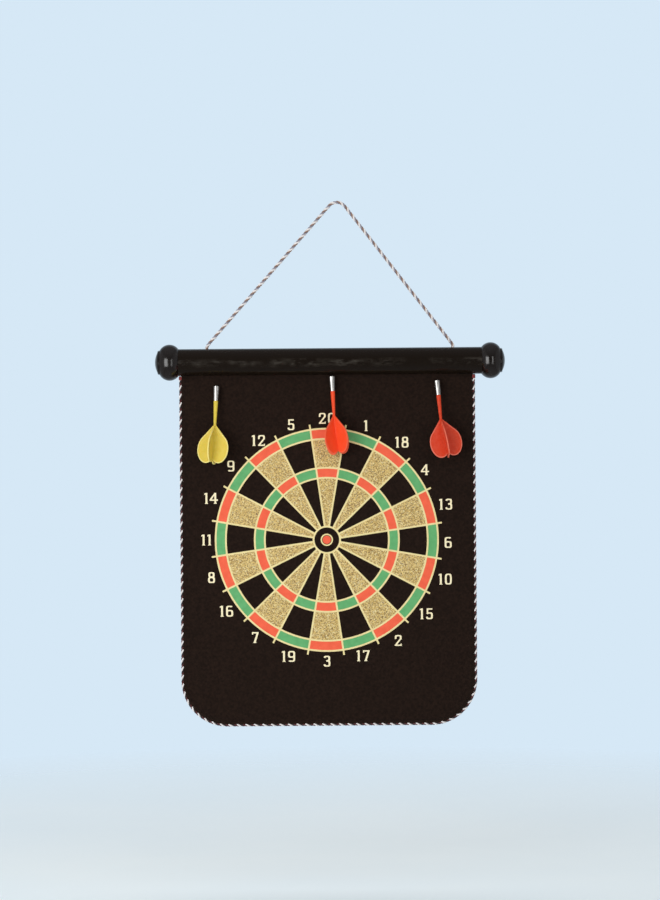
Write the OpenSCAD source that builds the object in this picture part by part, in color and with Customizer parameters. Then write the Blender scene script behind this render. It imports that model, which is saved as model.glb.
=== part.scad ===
// Magnetic dartboard: a cloth-faced magnetic sheet that hangs from a slotted tube on a cord,
// with three magnet-tipped darts resting on its face.
// The origin is where a hook carries the bend of the cord. Z is up and the face looks along -Y.

/* [Hanging cord] */
// Height of the hanging point above the axis of the tube
hang_rise = 170; // [150:1:200]
// How far the hanging point lies to the right of the middle of the tube
hang_offset = 8.6; // [0:0.1:16]
// Diameter of the cord
cord_d = 3.6; // [2.6:0.1:4.4]
// Distance between the two cord holes
cord_pitch = 265.6; // [230:0.2:280]
// Room round the cord in its hole
cord_clear = 0.7; // [0.4:0.1:1.2]
// Diameter of the knot at each end of the cord
knot_d = 8.6; // [7.6:0.1:10]
// Height of a knot
knot_h = 6.4; // [5:0.1:8]
// Gap between the round of a knot and the wall of the tube that stops it
knot_seat = 0.3; // [0.2:0.05:0.5]
// How far the ends of a knot stand out of its round body
knot_neck = 0.5; // [0.3:0.1:0.8]

/* [Tube] */
// Length of the tube between the end caps
tube_l = 327; // [322:1:360]
// Outside diameter of the tube
tube_d = 29; // [26:0.5:34]
// Wall of the tube
tube_wall = 1.5; // [1.2:0.1:2]
// Room on each side of the sheet in the slot under the tube
slot_side = 1.1; // [1:0.1:1.6]
// Room between an end of the hem and the spigot beside it
hem_end = 4.2; // [3:0.1:8]

/* [End caps] */
// Length of an end cap outside the tube
cap_l = 25.4; // [24.4:0.1:30]
// Width of the beaded ring next to the tube
bead_w = 19.6; // [16:0.2:21]
// Height of the bead above the surface of the tube
bead_rise = 5; // [3:0.1:6]
// Width of the flange on the plug that holds the ring against the tube
flange_w = 0.8; // [0.5:0.1:1.2]
// Width of the fine groove between flange and dome
groove_w = 0.9; // [0.6:0.1:1.4]
// Depth of that groove below the foot of the dome
groove_depth = 0.7; // [0.4:0.1:1.2]
// How far the flange and the foot of the dome step in from the edge of the ring
dome_step = 1.1; // [0.6:0.1:1.2]
// Length of the spigot that pushes into the tube
spigot_l = 16; // [12:0.5:18]
// Room round the spigot in the ring and in the tube
spigot_clear = 0.08; // [0.05:0.01:0.1]
// Wall of the moulded plug
cap_wall = 2; // [1.6:0.1:2.6]

/* [Sheet] */
// How much narrower the board is over its piping than the tube is long
board_margin = 7.2; // [7:0.1:20]
// Height of the board from the underside of the tube to its lower edge
board_h = 379; // [350:0.5:400]
// Radius of the two lower corners over the piping
corner_r = 50; // [25:1:60]
// How far the board hangs off the middle of the tube
board_shift = -3.3; // [-3.4:0.1:3.4]
// Thickness of the front and of the back cloth
cloth_t = 0.6; // [0.4:0.1:0.9]
// Thickness of the magnetic core sheet
core_t = 1; // [0.8:0.1:1.4]
// Gap between the tube and the upper ends of the piping
piping_gap = 0.5; // [0.5:0.1:2]
// Gap between the tube and the shoulders of the front cloth, beside its hem
shoulder_gap = 0.8; // [0.7:0.1:2]
// Diameter of the twisted piping round the edge
piping_d = 3.2; // [2.8:0.1:4]
// Gap between the edge of the sheet and its piping
piping_seat = 0.05; // [0.02:0.01:0.2]
// Diameter of the rod in the hem
rod_d = 5; // [4.4:0.1:6]
// Room round the rod in the hem
hem_clear = 0.05; // [0.03:0.01:0.1]
// Gap between the hem and the edges of the slot it hangs on
hem_seat = 0.3; // [0.25:0.05:0.5]

/* [Target] */
// Depth of the centre of the target below the tube
target_drop = 178; // [165:0.5:195]
// How far the print lies off the middle of the board
target_shift = -1.6; // [-6:0.1:6]
// Turn of the print on the board, clockwise as it is seen
target_turn = 0.9; // [-2:0.1:2]
// Radius of the bull
bull_r = 4.5; // [3:0.1:6]
// Gap between the bull and the fine line round it
bull_gap = 0.65; // [0.3:0.05:1.5]
// Width of the outer bull, between the middles of its lines
outer_bull_w = 8.4; // [6:0.1:11]
// Width of the single scores inside the treble ring
inner_single_w = 52.7; // [45:0.1:58]
// Width of the treble ring
treble_w = 10.8; // [8:0.1:12]
// Width of the single scores between the treble and the double ring
outer_single_w = 31.2; // [26:0.1:33]
// Width of the double ring
double_w = 11; // [8:0.1:12]
// How far the spokes reach past the double ring
spoke_over = 5.6; // [3:0.1:8]
// Width of the printed lines
line_w = 1.9; // [1.2:0.1:3]
// Width of the fine line round the bull
fine_line_w = 1.5; // [1:0.1:2]
// Thickness of the ink
print_t = 0.2; // [0.15:0.01:0.3]

/* [Darts] */
// Length of a dart from tip to tail
dart_l = 85.4; // [80:0.2:94]
// Height of the domed magnet in front of the barrel
dome_rise = 1.2; // [0.8:0.1:1.8]
// Diameter of the magnet
magnet_d = 5.2; // [4:0.1:5.6]
// Depth of the magnet in the barrel
magnet_l = 4; // [3:0.1:6]
// Length of the steel barrel
barrel_l = 16.2; // [12:0.1:18]
// Diameter of the barrel at the magnet
barrel_front_d = 7.4; // [6.8:0.1:8.4]
// Diameter of the barrel at the stem
barrel_back_d = 5.4; // [4.6:0.1:6]
// Chamfer on the rim of the barrel
barrel_chamfer = 0.4; // [0.2:0.1:0.6]
// Length of the plug on the stem inside the barrel
plug_l = 7; // [5:0.5:8]
// Diameter of that plug
plug_d = 3.4; // [3:0.1:4]
// Room round the magnet and the plug in the barrel
barrel_fit = 0.04; // [0.02:0.01:0.08]
// Length of the flights, measured along the dart
flight_l = 41.4; // [38:0.2:48]
// Diameter of the stem behind the barrel
stem_d = 4.8; // [4.2:0.1:5.4]
// Diameter of the stem where the flights begin
stem_end_d = 2.8; // [2.4:0.1:3.6]
// Diameter of the core between the flights at its tail
core_end_d = 1.6; // [1.2:0.1:2.2]
// Distance from the axis of a dart to the widest point of a flight
flight_reach = 17.2; // [15:0.1:19]
// Distance from the axis to the lowest point of a flight's lobe
lobe_off = 6.9; // [6:0.1:8]
// Distance from the tail forward to the widest point of a flight
lobe_l = 15.3; // [12:0.1:18]
// Thickness of a flight
web_t = 0.7; // [0.5:0.1:1]
// Thickness of the rim round a flight
rim_t = 1.2; // [1:0.1:1.6]
// Width of that rim
rim_w = 1.1; // [0.8:0.1:1.6]
// Gap between a resting dart and the face of the board
dart_gap = 0.3; // [0.2:0.05:0.5]

/* [Dart places] */
// Left dart: distance of its tip to the right of the tube's middle
left_x = -122.5; // [-130:0.1:-100]
// Left dart: depth of its tip below the tube
left_drop = 10.5; // [4:0.1:30]
// Left dart: turn about its own axis
left_spin = -15; // [-45:1:45]
// Left dart: lean of its tail to the right
left_tilt = -2.2; // [-12:0.1:12]
// Left dart: bend that its soft flights have taken to the right of the stem
left_bend = -2.6; // [-8:0.1:8]
// Middle dart: distance of its tip to the right of the tube's middle
middle_x = 1.9; // [-20:0.1:20]
// Middle dart: depth of its tip below the tube
middle_drop = 0.8; // [0.6:0.1:30]
// Middle dart: turn about its own axis
middle_spin = 43; // [-45:1:45]
// Middle dart: lean of its tail to the right
middle_tilt = 2.6; // [-12:0.1:12]
// Middle dart: bend that its soft flights have taken to the right of the stem
middle_bend = 3.7; // [-8:0.1:8]
// Right dart: distance of its tip to the right of the tube's middle
right_x = 115.2; // [95:0.1:122]
// Right dart: depth of its tip below the tube
right_drop = 6.2; // [4:0.1:30]
// Right dart: turn about its own axis
right_spin = 2; // [-45:1:45]
// Right dart: lean of its tail to the right
right_tilt = 4.6; // [-12:0.1:12]
// Right dart: bend that its soft flights have taken to the right of the stem
right_bend = 6.8; // [-8:0.1:8]

/* [Hidden] */

$fn = 96;
// How far a cutting shape runs past the face that it opens
past = 1;

// Tube and cord holes
tube_x = -hang_offset;
tube_z = -hang_rise;
tube_r = tube_d / 2;
bore_r = tube_r - tube_wall;
cord_hole_d = cord_d + 2 * cord_clear;
knot_top = bore_r - knot_seat + knot_neck;

// Layers of the sheet, from the middle of its thickness
sheet_t = 2 * cloth_t + core_t;
cloth_in = core_t / 2;
face_y = -sheet_t / 2 - print_t;

// Hem: a loop of cloth round the rod, hung on the two edges of the slot
loop_in_r = rod_d / 2 + hem_clear;
loop_r = loop_in_r + cloth_t;
slot_w = sheet_t + 2 * slot_side;
hem_l = tube_l - 2 * (spigot_l + hem_end + abs(board_shift));
slot_edge_drop = sqrt(pow(bore_r, 2) - pow(slot_w / 2, 2));
hem_drop = slot_edge_drop - sqrt(pow(loop_r + hem_seat, 2) - pow(slot_w / 2, 2));
sheet_top = hem_drop + loop_r + hem_clear;

// Outline of the sheet, from the axis of the tube
board_x = tube_x + board_shift;
board_w = tube_l - board_margin;
piping_top = tube_r + piping_gap;
board_drop = tube_r + board_h;
sheet_inset = piping_d + piping_seat;
sheet_w = board_w - 2 * sheet_inset;
sheet_drop = board_drop - sheet_inset;
sheet_corner = corner_r - sheet_inset;
piping_corner = corner_r - piping_d / 2;

// Target print, from the bull outwards
bull_line_r = bull_r + bull_gap + fine_line_w / 2;
outer_bull_r = bull_line_r + outer_bull_w;
treble_in_r = outer_bull_r + inner_single_w;
treble_out_r = treble_in_r + treble_w;
double_in_r = treble_out_r + outer_single_w;
double_out_r = double_in_r + double_w;
spoke_r = double_out_r + spoke_over;
sectors = 20;
sector_turn = 360 / sectors;

// Darts, measured along the axis from the tip
barrel_end = dome_rise + barrel_l;
flight_start = dart_l - flight_l;
lobe_at = dart_l - lobe_l;
lobe_r = flight_reach - lobe_off;
root_d = stem_end_d + 0.4;
arc_steps = 30;
left_dart = [left_x, left_drop, left_spin, left_tilt, left_bend];
middle_dart = [middle_x, middle_drop, middle_spin, middle_tilt, middle_bend];
right_dart = [right_x, right_drop, right_spin, right_tilt, right_bend];

// Radius of an arc from half its chord and its rise
function arc_radius(half, rise) = (half * half + rise * rise) / (2 * rise);

// Cord route in X and Z: up out of a hole and over towards the hook, and round the hook
mouth_bend = [[0, 0], [0.2, 1.9], [0.9, 3.6], [1.9, 5.2]];
hook_bend = [[-8.4, -3.9], [-6, -1.8], [-3.1, -0.5], [0, 0], [3.2, -0.5], [6.3, -2], [8.8, -4.4]];
cord_sides = 8;
ring_pitch = 2.5 * cord_d;

function mouth(side) = [for (p = concat([[0, knot_top - tube_r]], mouth_bend))
    [tube_x + side * (cord_pitch / 2 - p[0]), tube_z + tube_r + p[1]]];
function backwards(list) = [for (i = [len(list) - 1 : -1 : 0]) list[i]];
function last(list) = list[len(list) - 1];
function straight(a, b) = let (n = ceil(norm(b - a) / ring_pitch))
    [for (i = [1 : n - 1]) a + (b - a) * i / n];

hook_run = [for (p = hook_bend) p + [0, cord_d / 2]];
left_run = mouth(-1);
right_run = backwards(mouth(1));
cord_route = concat(left_run, straight(last(left_run), hook_run[0]), hook_run,
    straight(last(hook_run), right_run[0]), right_run);

// Half way between the directions of the runs before and after a point of the route
function heading(i) = let (
        a = cord_route[max(i - 1, 0)],
        b = cord_route[i],
        c = cord_route[min(i + 1, len(cord_route) - 1)],
        into = b == a ? [0, 0] : (b - a) / norm(b - a),
        out = c == b ? [0, 0] : (c - b) / norm(c - b)
    ) (into + out) / norm(into + out);

function cord_ring(i) = let (p = cord_route[i], h = heading(i))
    [for (s = [0 : cord_sides - 1]) let (
            turn = 360 * (s + 0.5) / cord_sides,
            side = cord_d / 2 * cos(turn),
            depth = cord_d / 2 * sin(turn)
        ) [p[0] + h[1] * side, depth, p[1] - h[0] * side]];

// One vane: a straight edge from the stem, then an oval lobe to the notch at the tail
function vane_points(inset) = let (
        a = lobe_l - inset,
        b = lobe_r - inset,
        root = [stem_end_d / 2, flight_start + 3 * inset],
        away = [(root[1] - lobe_at) / a, (root[0] - lobe_off) / b],
        first = atan2(away[1], away[0]) + 360 - acos(1 / norm(away)),
        end = -asin(lobe_off / b)
    ) concat([[0, root[1]], root], [for (i = [0 : arc_steps])
        let (turn = first + (end - first) * i / arc_steps)
        [max(lobe_off + b * sin(turn), 0), lobe_at + a * cos(turn)]]);

// Lean of a dart that touches the face with the rim of its barrel and its nearest vane:
// the tangent of the angle, found by repeated substitution
rim_at = dome_rise + barrel_chamfer;
function near_vane(spin) = max(abs(cos(spin)), abs(sin(spin)));
function near_side(spin) = min(abs(cos(spin)), abs(sin(spin)));
function lean_slope(spin, slope = 0, rounds = 12) = rounds == 0 ? slope : lean_slope(spin,
    (lobe_off * near_vane(spin) + rim_t / 2 * near_side(spin) - barrel_front_d / 2
        + sqrt(pow(lobe_l * slope, 2) + pow(lobe_r * near_vane(spin), 2))) / (lobe_at - rim_at),
    rounds - 1);
function lean(spin) = atan(lean_slope(spin));
function tip_y(spin) = face_y - dart_gap
    - barrel_front_d / 2 * cos(lean(spin)) + rim_at * sin(lean(spin));

// Shared shapes

module at_tube() translate([tube_x, 0, tube_z]) children();

module at_board() translate([board_x, 0, tube_z]) children();

// A cylinder along X, centred
module rod_x(length, d) rotate([0, 90, 0]) cylinder(h = length, d = d, center = true);

// A flat shape drawn in X and Z, as thick as t, with its back at y
module stand(y, t) translate([0, y, 0]) rotate([90, 0, 0]) linear_extrude(t) children();

// Flat outline of the sheet, with its straight top at a depth below the axis of the tube
module sheet_outline(top) {
    translate([-sheet_w / 2, -sheet_drop + sheet_corner])
        square([sheet_w, sheet_drop - sheet_corner - top]);
    translate([-sheet_w / 2 + sheet_corner, -sheet_drop])
        square([sheet_w - 2 * sheet_corner, sheet_drop - top]);
    for (side = [-1, 1])
        translate([side * (sheet_w / 2 - sheet_corner), -sheet_drop + sheet_corner])
            circle(r = sheet_corner);
}

module ring(inner, outer) difference() {
    circle(r = outer);
    circle(r = inner);
}

module line_ring(r, w) ring(r - w / 2, r + w / 2);

module spokes() for (i = [0 : sectors - 1])
    rotate(sector_turn * (i + 0.5))
        translate([-line_w / 2, outer_bull_r])
            square([line_w, spoke_r - outer_bull_r]);

// Every second sector, counted from the top one or from its neighbour
module alternate_sectors(first) {
    far = 1.1 * spoke_r;
    half = far * tan(sector_turn / 2);
    for (i = [first : 2 : sectors - 1])
        rotate(sector_turn * i) polygon([[0, 0], [half, far], [-half, far]]);
}

module sector_print(first) difference() {
    intersection() {
        alternate_sectors(first);
        children();
    }
    spokes();
}

module single_rings() {
    ring(outer_bull_r + line_w / 2, treble_in_r - line_w / 2);
    ring(treble_out_r + line_w / 2, double_in_r - line_w / 2);
}

module score_rings() {
    ring(treble_in_r + line_w / 2, treble_out_r - line_w / 2);
    ring(double_in_r + line_w / 2, double_out_r - line_w / 2);
}

module ink() translate([target_shift, 0, -tube_r - target_drop]) stand(-sheet_t / 2, print_t)
    rotate(-target_turn) children();

// Places a dart that is drawn with its tip at the origin and its tail along +Z
module dart_at(dart)
    translate([tube_x + dart[0], tip_y(dart[2]), tube_z - tube_r - dart[1]])
        rotate([-lean(dart[2]), -dart[3], 0])
            rotate([180, 0, dart[2]])
                children();

// Sub-parts

// Extruded tube with a slot along the whole of its underside and two cord holes on top
module tube() color("#1d1b1a") at_tube() difference() {
    rod_x(tube_l, tube_d);
    rod_x(tube_l + 2 * past, 2 * bore_r);
    translate([-tube_l / 2 - past, -slot_w / 2, -tube_d]) cube([tube_l + 2 * past, slot_w, tube_d]);
    for (side = [-1, 1]) translate([side * cord_pitch / 2, 0, 0]) cylinder(h = tube_d, d = cord_hole_d);
}

// Places an end piece that is drawn from the end of the tube outwards along +Z
module at_tube_end(side) at_tube() translate([side * tube_l / 2, 0, 0]) rotate([0, side * 90, 0]) children();

// Beaded ring between the end of the tube and the flange of the plug
module end_ring() color("#141313") rotate_extrude() difference() {
    bead_arc = arc_radius(bead_w / 2, bead_rise);
    intersection() {
        translate([tube_r + bead_rise - bead_arc, bead_w / 2]) circle(r = bead_arc);
        square([tube_r + bead_rise, bead_w]);
    }
    translate([0, -past]) square([bore_r, bead_w + 2 * past]);
}

// Moulded plug: a dome, a groove and a flange outside, and a hollow spigot through the ring into the tube
module end_plug() color("#141313") rotate_extrude() difference() {
    spigot_r = bore_r - spigot_clear;
    hollow_r = spigot_r - cap_wall;
    dome_foot = tube_r - dome_step;
    dome_at = bead_w + flange_w + groove_w;
    dome_arc = arc_radius(dome_foot, cap_l - dome_at);
    union() {
        translate([0, -spigot_l]) square([spigot_r, spigot_l + bead_w + flange_w / 2]);
        translate([0, bead_w]) square([dome_foot, flange_w]);
        translate([0, bead_w]) square([dome_foot - groove_depth, flange_w + groove_w + past]);
        intersection() {
            translate([0, cap_l - dome_arc]) circle(r = dome_arc);
            translate([0, dome_at]) square([dome_foot, cap_l - dome_at]);
        }
    }
    translate([0, -spigot_l - past]) square([hollow_r, spigot_l + past + bead_w / 2]);
    intersection() {
        translate([0, cap_l - dome_arc]) circle(r = dome_arc - cap_wall);
        translate([0, bead_w / 2 - past]) square([hollow_r, cap_l]);
    }
}

// Cord from hole to hole over the hook, swept along its route
module hanging_cord() {
    rings = len(cord_route);
    points = [for (i = [0 : rings - 1]) each cord_ring(i)];
    walls = [for (i = [0 : rings - 2], s = [0 : cord_sides - 1]) let (
            a = i * cord_sides + s,
            b = i * cord_sides + (s + 1) % cord_sides
        ) each [[a, b, b + cord_sides], [a, b + cord_sides, a + cord_sides]]];
    start = [for (s = [cord_sides - 1 : -1 : 0]) s];
    end = [for (s = [0 : cord_sides - 1]) (rings - 1) * cord_sides + s];
    color("#c9c3bd") polyhedron(points = points, faces = concat([start], walls, [end]));
}

// Stopper knots under the cord holes, each flat where the cord enters
module cord_knots() color("#c9c3bd") at_tube() for (side = [-1, 1])
    translate([side * cord_pitch / 2, 0, knot_top - knot_h]) rotate_extrude() {
        round_r = knot_h / 2 - knot_neck;
        square([cord_d / 2, knot_h]);
        translate([0, knot_neck]) square([knot_d / 2 - round_r, 2 * round_r]);
        intersection() {
            translate([knot_d / 2 - round_r, knot_h / 2]) circle(r = round_r);
            square([knot_d / 2, knot_h]);
        }
    }

// Rod that the top of the sheet is hemmed round
module hem_rod() color("#6f5a41") at_board() translate([0, 0, -hem_drop]) rod_x(hem_l, rod_d);

// Flocked front cloth, whose middle part goes on into the slot and is turned round the rod
module front_cloth() color("#241d1a") at_board() {
    shoulder = tube_r + shoulder_gap;
    difference() {
        union() {
            stand(-cloth_in, cloth_t) {
                sheet_outline(shoulder);
                translate([-hem_l / 2, -shoulder]) square([hem_l, shoulder - hem_drop - loop_in_r]);
            }
            translate([0, 0, -hem_drop]) rod_x(hem_l, 2 * loop_r);
        }
        translate([0, 0, -hem_drop]) rod_x(hem_l + 2 * past, 2 * loop_in_r);
    }
}

// Flexible magnetic core between the cloths
module magnet_sheet() color("#3a3836") at_board()
    stand(core_t / 2, core_t) sheet_outline(sheet_top);

module back_cloth() color("#1e1917") at_board()
    stand(cloth_in + cloth_t, cloth_t) sheet_outline(sheet_top);

// Twisted piping down one side, round the lower corners and up the other side
module edge_piping() color("#d8d0c6") at_board() {
    run_x = board_w / 2 - piping_d / 2;
    bend_x = board_w / 2 - corner_r;
    bend_drop = board_drop - corner_r;
    for (side = [-1, 1]) {
        translate([side * run_x, 0, -bend_drop]) cylinder(h = bend_drop - piping_top, d = piping_d);
        translate([side * bend_x, 0, -bend_drop]) rotate([90, 0, 0])
            rotate([0, 0, side > 0 ? -90 : 180])
                rotate_extrude(angle = 90) translate([piping_corner, 0]) circle(d = piping_d);
    }
    translate([0, 0, -board_drop + piping_d / 2]) rod_x(2 * bend_x, piping_d);
}

// Glitter ink of the single scores in every second sector
module gold_print() color("#c5ac70") at_board() ink() sector_print(0) single_rings();

// Red ink of the doubles and trebles in the glitter sectors, and of the bull
module red_print() color("#f3694a") at_board() ink() {
    sector_print(0) score_rings();
    circle(r = bull_r);
}

// Green ink of the doubles and trebles in the dark sectors
module green_print() color("#66b170") at_board() ink() sector_print(1) score_rings();

// Pale lines between the scores
module line_print() color("#f7dc91") at_board() ink() {
    line_ring(bull_line_r, fine_line_w);
    line_ring(outer_bull_r, line_w);
    for (r = [treble_in_r, treble_out_r, double_in_r, double_out_r]) line_ring(r, line_w);
    spokes();
}

// Domed magnet, glued into the front of the barrel
module dart_magnet(dart) color("#4a4a4c") dart_at(dart) rotate_extrude() {
    dome_arc = arc_radius(magnet_d / 2, dome_rise);
    intersection() {
        translate([0, dome_arc]) circle(r = dome_arc);
        square([magnet_d / 2, dome_rise]);
    }
    translate([0, dome_rise]) square([magnet_d / 2, magnet_l]);
}

// Turned steel barrel with a pocket for the magnet and a socket for the stem
module dart_barrel(dart) color("#c4c6c8") dart_at(dart) rotate_extrude() difference() {
    translate([0, dome_rise]) polygon([
        [0, 0],
        [barrel_front_d / 2 - barrel_chamfer, 0],
        [barrel_front_d / 2, barrel_chamfer],
        [barrel_back_d / 2, barrel_l],
        [0, barrel_l]
    ]);
    translate([0, dome_rise - past]) square([magnet_d / 2 + barrel_fit, magnet_l + past]);
    translate([0, barrel_end - plug_l]) square([plug_d / 2 + barrel_fit, plug_l + past]);
}

// Bends what lies behind the stem of a dart to one side of the board's plane
module bent(dart) translate([0, 0, flight_start])
    rotate([0, 0, dart[2]]) rotate([0, dart[4], 0]) rotate([0, 0, -dart[2]])
        translate([0, 0, -flight_start]) children();

// One moulding: the plug, the tapered stem and four rimmed flights round a core
module dart_body(dart, tint) color(tint) dart_at(dart) {
    rotate_extrude() polygon([
        [0, barrel_end - plug_l],
        [plug_d / 2, barrel_end - plug_l],
        [plug_d / 2, barrel_end],
        [stem_d / 2, barrel_end],
        [stem_end_d / 2, flight_start],
        [0, flight_start]
    ]);
    bent(dart) {
        translate([0, 0, flight_start]) sphere(d = root_d);
        rotate_extrude() polygon([
            [0, flight_start],
            [stem_end_d / 2, flight_start],
            [core_end_d / 2, lobe_at],
            [0, lobe_at + core_end_d / 2]
        ]);
        for (turn = [0 : 90 : 270]) rotate([90, 0, turn]) {
            linear_extrude(web_t, center = true) polygon(vane_points(0));
            linear_extrude(rim_t, center = true) difference() {
                polygon(vane_points(0));
                polygon(vane_points(rim_w));
            }
        }
    }
}

tube();
at_tube_end(-1) end_ring();  // left_end_ring
at_tube_end(-1) end_plug();  // left_end_plug
at_tube_end(1) end_ring();  // right_end_ring
at_tube_end(1) end_plug();  // right_end_plug
hanging_cord();
cord_knots();
hem_rod();
front_cloth();
magnet_sheet();
back_cloth();
edge_piping();
gold_print();
red_print();
green_print();
line_print();
dart_magnet(left_dart);  // left_dart_magnet
dart_barrel(left_dart);  // left_dart_barrel
dart_body(left_dart, "#ebcd50");  // left_dart_body
dart_magnet(middle_dart);  // middle_dart_magnet
dart_barrel(middle_dart);  // middle_dart_barrel
dart_body(middle_dart, "#e13c28");  // middle_dart_body
dart_magnet(right_dart);  // right_dart_magnet
dart_barrel(right_dart);  // right_dart_barrel
dart_body(right_dart, "#e13c28");  // right_dart_body
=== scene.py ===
"""Magnetic dartboard, dressed for rendering. Metres, Z up, front towards -Y, hook at the origin."""
from math import atan2, copysign, cos, degrees, radians, sin, sqrt, tau

import bmesh
import bpy
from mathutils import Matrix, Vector


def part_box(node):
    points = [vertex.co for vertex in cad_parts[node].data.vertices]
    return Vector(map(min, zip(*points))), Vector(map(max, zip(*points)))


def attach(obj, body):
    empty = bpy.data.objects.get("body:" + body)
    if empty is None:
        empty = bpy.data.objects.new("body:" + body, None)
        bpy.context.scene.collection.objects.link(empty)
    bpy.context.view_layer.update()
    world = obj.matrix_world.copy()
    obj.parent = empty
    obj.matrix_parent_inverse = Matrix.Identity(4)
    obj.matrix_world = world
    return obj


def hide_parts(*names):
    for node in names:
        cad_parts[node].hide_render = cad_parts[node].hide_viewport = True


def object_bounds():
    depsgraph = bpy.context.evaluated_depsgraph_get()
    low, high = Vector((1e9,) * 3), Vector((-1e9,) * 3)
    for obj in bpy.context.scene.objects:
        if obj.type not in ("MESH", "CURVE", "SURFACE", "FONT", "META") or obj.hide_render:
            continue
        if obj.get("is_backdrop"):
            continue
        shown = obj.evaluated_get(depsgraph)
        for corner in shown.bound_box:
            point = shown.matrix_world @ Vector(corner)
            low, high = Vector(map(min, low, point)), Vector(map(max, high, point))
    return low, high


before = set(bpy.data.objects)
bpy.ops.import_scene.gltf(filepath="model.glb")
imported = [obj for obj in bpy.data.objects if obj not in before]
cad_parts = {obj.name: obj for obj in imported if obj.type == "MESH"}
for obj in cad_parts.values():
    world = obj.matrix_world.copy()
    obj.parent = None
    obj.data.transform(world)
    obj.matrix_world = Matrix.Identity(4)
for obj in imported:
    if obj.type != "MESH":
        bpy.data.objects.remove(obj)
cad_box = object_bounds()
mm = 0.001

# Camera: a long lens, square to the board and a little above its middle.
# Its small roll is the tilt at which the object hangs in the photograph.
camera_data = bpy.data.cameras.new("camera")
camera_data.lens = 100
camera = bpy.data.objects.new("camera", camera_data)
camera.location = (-0.0093, -2.7, -0.2656)
camera.rotation_euler = (radians(90), radians(0.45), 0)
bpy.context.collection.objects.link(camera)
bpy.context.scene.camera = camera

# Hanging cord: three yarns, pale, brown and plum, twisted together to a rope 3.6 mm thick.
# It comes up out of two holes in the tube and runs taut over a hook, which is not part of the object.
cord_d = 3.6 * mm
cord_lay = 9.8 * mm
knot_low, knot_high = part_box("cord_knots")
knot_d = knot_high.y - knot_low.y
left_hole_x = knot_low.x + knot_d / 2
right_hole_x = knot_high.x - knot_d / 2
tube_low, tube_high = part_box("tube")
tube_top_z = tube_high.z
cord_mouth = [(0, -1.3), (0, 0), (0.2, 1.9), (0.9, 3.6), (1.9, 5.2)]
hook_bend = [(-8.4, -2.1), (-6, 0), (-3.1, 1.3), (0, 1.8), (3.2, 1.3), (6.3, -0.2), (8.8, -2.6)]
leg_step = 2.5 * cord_d


def between(start, end, step):
    """Points that divide a straight run evenly, without its two ends."""
    parts = max(1, round((end - start).length / step))
    return [start.lerp(end, part / parts) for part in range(1, parts)]


left_mouth = [Vector((left_hole_x + x * mm, 0, tube_top_z + z * mm)) for x, z in cord_mouth]
right_mouth = [Vector((right_hole_x - x * mm, 0, tube_top_z + z * mm)) for x, z in cord_mouth]
over_hook = [Vector((x * mm, 0, z * mm)) for x, z in hook_bend]
cord_route = [
    *left_mouth,
    *between(left_mouth[-1], over_hook[0], leg_step),
    *over_hook,
    *between(over_hook[-1], right_mouth[-1], leg_step),
    *reversed(right_mouth),
]


def put(tree, kind, inputs=None, **settings):
    """Adds a node with its settings, links or fills its inputs, and returns its outputs."""
    node = tree.nodes.new(kind)
    for name, value in settings.items():
        setattr(node, name, value)
    for key, value in (inputs or {}).items():
        for part in value if isinstance(value, list) else [value]:
            if isinstance(part, bpy.types.NodeSocket):
                tree.links.new(part, node.inputs[key])
            else:
                node.inputs[key].default_value = part
    return node.outputs


def calc(tree, operation, *values):
    return put(tree, "ShaderNodeMath", dict(enumerate(values)), operation=operation)[0]


def spread(tree, value, low, high):
    """Maps low to high onto 0 to 1, and holds what lies outside."""
    return put(tree, "ShaderNodeMapRange", {"Value": value, "From Min": low, "From Max": high})[0]


def dye(red, green, blue):
    """An sRGB colour, 0 to 255, as the linear colour that a shader takes."""
    return tuple(((c / 255 + 0.055) / 1.055) ** 2.4 for c in (red, green, blue)) + (1,)


def dyed(tree, factor, first, second):
    return put(tree, "ShaderNodeMix", {0: factor, 6: first, 7: second}, data_type="RGBA")[2]


def mottle(tree, scale, low=0.3, high=0.7, detail=4, stretch=(1, 1, 1)):
    """Noise on the piece's own coordinates, spread so that low to high becomes 0 to 1."""
    place = put(tree, "ShaderNodeTexCoord")["Object"]
    place = put(tree, "ShaderNodeMapping", {"Vector": place, "Scale": stretch})[0]
    noise = put(tree, "ShaderNodeTexNoise", {"Vector": place, "Scale": scale, "Detail": detail})[0]
    return spread(tree, noise, low, high)


def relief(tree, shader, height, depth):
    bump = put(tree, "ShaderNodeBump", {"Height": height, "Distance": depth, "Strength": 1})[0]
    tree.links.new(bump, shader.inputs["Normal"])


def finish(name, **sockets):
    """A new material with its tree and its Principled shader. Sockets are named with _ for a space."""
    material = bpy.data.materials.new(name)
    material.use_nodes = True
    shader = material.node_tree.nodes["Principled BSDF"]
    for key, value in sockets.items():
        shader.inputs[key.replace("_", " ")].default_value = value
    return material, material.node_tree, shader


def yarn(name, crest, groove_shade):
    """Spun yarn: fibres that wind round the strand, with a soft fuzz. The grooves between the fibres are
    darkened with painted shade.
    """
    fibres = 5
    fibre_lay = 2.6 * mm
    material, tree, shader = finish(name, Roughness=0.85, Sheen_Weight=0.25, Sheen_Roughness=0.5)
    along = put(tree, "ShaderNodeAttribute", attribute_name="along")["Fac"]
    seat = put(tree, "ShaderNodeAttribute", attribute_name="seat")["Vector"]
    seat = put(tree, "ShaderNodeSeparateXYZ", {0: seat})
    angle = calc(tree, "ARCTAN2", seat[1], seat[0])
    phase = calc(tree, "MULTIPLY_ADD", angle, fibres, calc(tree, "MULTIPLY", along, tau / fibre_lay))
    ridge = spread(tree, calc(tree, "SINE", phase), -1, 1)
    fuzz = mottle(tree, 2600, 0.2, 0.8)
    height = calc(tree, "MULTIPLY_ADD", fuzz, 0.6, ridge)
    # Painted shade: down in the grooves between fibres the yarn is mixed towards the darker colour.
    tree.links.new(dyed(tree, spread(tree, height, 0.1, 1.1), groove_shade, crest), shader.inputs["Base Color"])
    relief(tree, shader, height, 0.09 * mm)
    return material


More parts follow.
